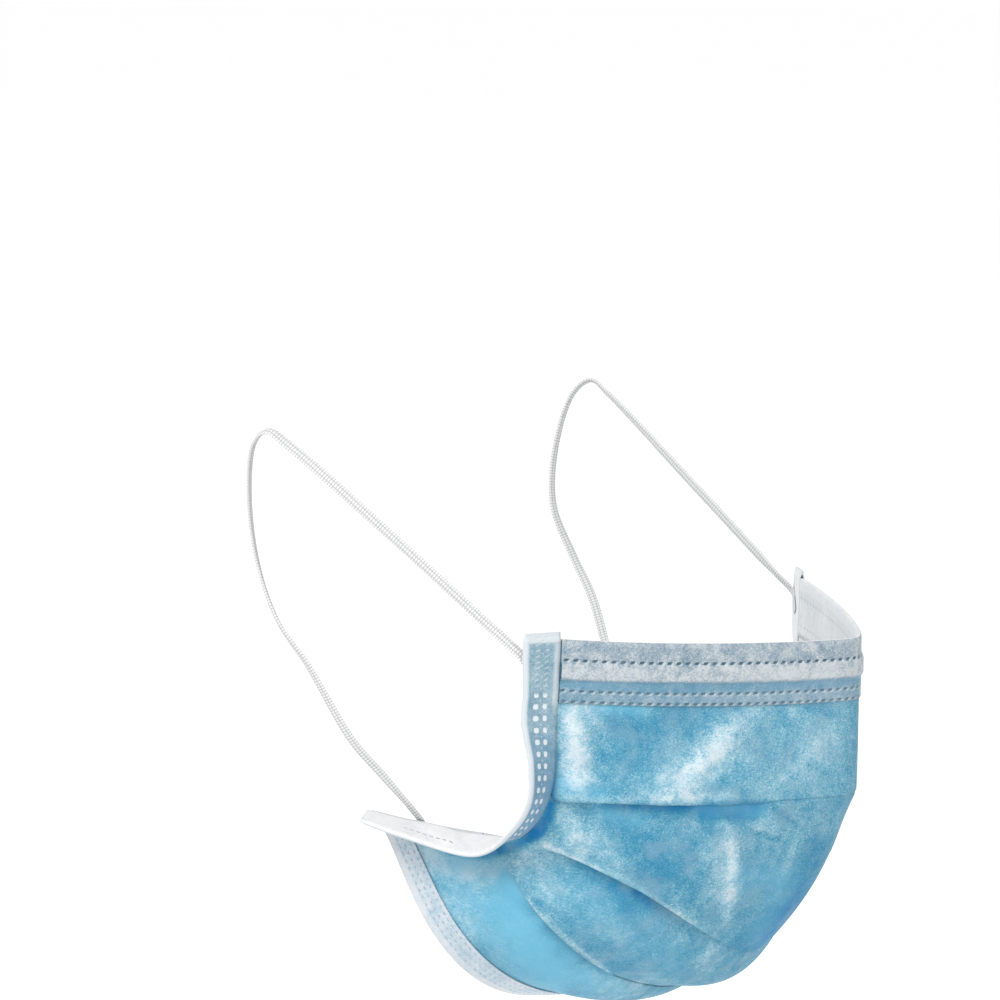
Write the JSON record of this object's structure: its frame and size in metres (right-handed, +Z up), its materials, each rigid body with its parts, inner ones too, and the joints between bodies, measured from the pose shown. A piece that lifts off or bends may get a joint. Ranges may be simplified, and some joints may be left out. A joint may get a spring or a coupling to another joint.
{
  "type": "surgical face mask",
  "caption": "Pleated surgical face mask as worn: cupped blue cloth panel, white folded top and bottom bands, side binding tapes and elastic ear loops.",
  "frame": {"origin": "middle of the top edge, on the bridge of the nose, where the mask sits", "axes": "+Z up as worn, the front faces -Y, the wearer's right is -X"},
  "size_m": [0.1594, 0.1187, 0.1368],
  "materials": {
    "blue_nonwoven": "matte",
    "white_nonwoven": "matte",
    "nose_wire": "satin",
    "side_tape": "matte",
    "white_elastic": "matte"
  },
  "bodies": {
    "root": {"body_panel": "blue_nonwoven", "top_band": "white_nonwoven", "nose_wire": "nose_wire", "bottom_band": "white_nonwoven", "side_tape_right": "side_tape", "side_tape_left": "side_tape", "ear_loop_right": "white_elastic", "ear_loop_left": "white_elastic"}
  },
  "joints": []
}
